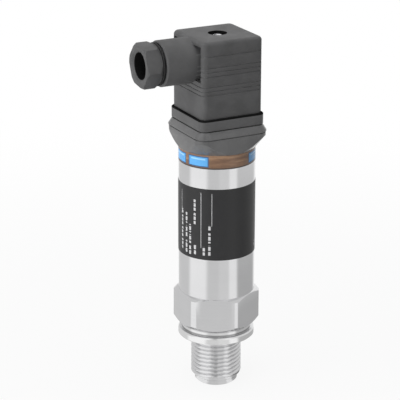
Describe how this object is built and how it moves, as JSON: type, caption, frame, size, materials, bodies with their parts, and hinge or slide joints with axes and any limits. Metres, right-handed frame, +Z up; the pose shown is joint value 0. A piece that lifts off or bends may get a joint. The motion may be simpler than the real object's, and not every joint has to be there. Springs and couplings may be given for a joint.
{
  "type": "pressure transmitter",
  "caption": "Slim upright pressure transmitter: threaded steel stem, hexagon, round housing with a dark label and see-through band, and a square angled plug with a side cable gland.",
  "frame": {"origin": "on the housing's axis, in the plane of the flange's sealing face, where the process thread ends", "axes": "+Z up the housing from the thread to the plug, -X along the cable gland, +Y to the back"},
  "size_m": [0.051, 0.0356, 0.1502],
  "materials": {
    "stainless": "turned",
    "seal_rubber": "moulded",
    "label_film": "satin printed film",
    "window": "smoky, see-through",
    "board_laminate": "solder resist",
    "chip_resin": "moulded",
    "can_aluminium": "drawn",
    "holder_plastic": "moulded",
    "head_plastic": "moulded, satin",
    "base_plastic": "moulded",
    "plug_plastic": "moulded, fine texture",
    "block_plastic": "moulded",
    "contact_metal": "tin plated",
    "pin_gold": "gold plated",
    "cell_glass": "fused",
    "insert_brass": "machined",
    "screw_steel": "zinc plated",
    "gland_plastic": "moulded",
    "ring_plastic": "moulded"
  },
  "bodies": {
    "housing": {"process_connection": "stainless", "process_seal": "seal_rubber", "isolating_diaphragm": "stainless", "sensor_cell": "stainless", "cell_glass": "cell_glass", "cell_pins": "pin_gold", "housing_tube": "stainless", "label_foil": "label_film", "window_band": "window", "board_holder": "holder_plastic", "circuit_board": "board_laminate", "board_chips": "chip_resin", "board_capacitors": "can_aluminium", "top_board": "board_laminate", "head_adapter": "head_plastic", "tube_seal": "seal_rubber", "plug_base": "base_plastic", "contact_blades": "contact_metal", "earth_blade": "contact_metal", "threaded_insert": "insert_brass", "profile_gasket": "seal_rubber"},
    "plug": {"plug_housing": "plug_plastic", "terminal_block": "block_plastic", "socket_contacts": "contact_metal", "terminal_screws": "screw_steel", "gland_grommet": "seal_rubber", "pressure_washer": "ring_plastic"},
    "gland_ring": {"gland_washer": "ring_plastic"},
    "gland_nut": {"gland_nut": "gland_plastic"},
    "screw_ring": {"screw_washer": "screw_steel"},
    "fixing_screw": {"fixing_screw": "screw_steel"}
  },
  "joints": [
    {"name": "plug_lift", "type": "slide", "parent": "housing", "child": "plug", "axis": [0, 0, 1], "range_m": [0, 0.02]},
    {"name": "gland_travel", "type": "slide", "parent": "plug", "child": "gland_ring", "axis": [-1, 0, 0], "range_m": [0, 0.0031]},
    {"name": "gland_nut_spin", "type": "hinge", "parent": "gland_ring", "child": "gland_nut", "pos_m": [-0.03, 0, 0.11925], "axis": [-1, 0, 0], "range_deg": [0, 720]},
    {"name": "screw_travel", "type": "slide", "parent": "plug", "child": "screw_ring", "axis": [0, 0, 1], "range_m": [0, 0.0053]},
    {"name": "fixing_screw_spin", "type": "hinge", "parent": "screw_ring", "child": "fixing_screw", "pos_m": [0, 0, 0.12], "axis": [0, 0, 1], "range_deg": [0, 3820]}
  ],
  "couplings": [
    {"joint": "gland_travel", "follows": "gland_nut_spin", "m_per_rad": 0.00023873},
    {"joint": "fixing_screw_spin", "follows": "screw_travel", "rad_per_m": 12566}
  ]
}
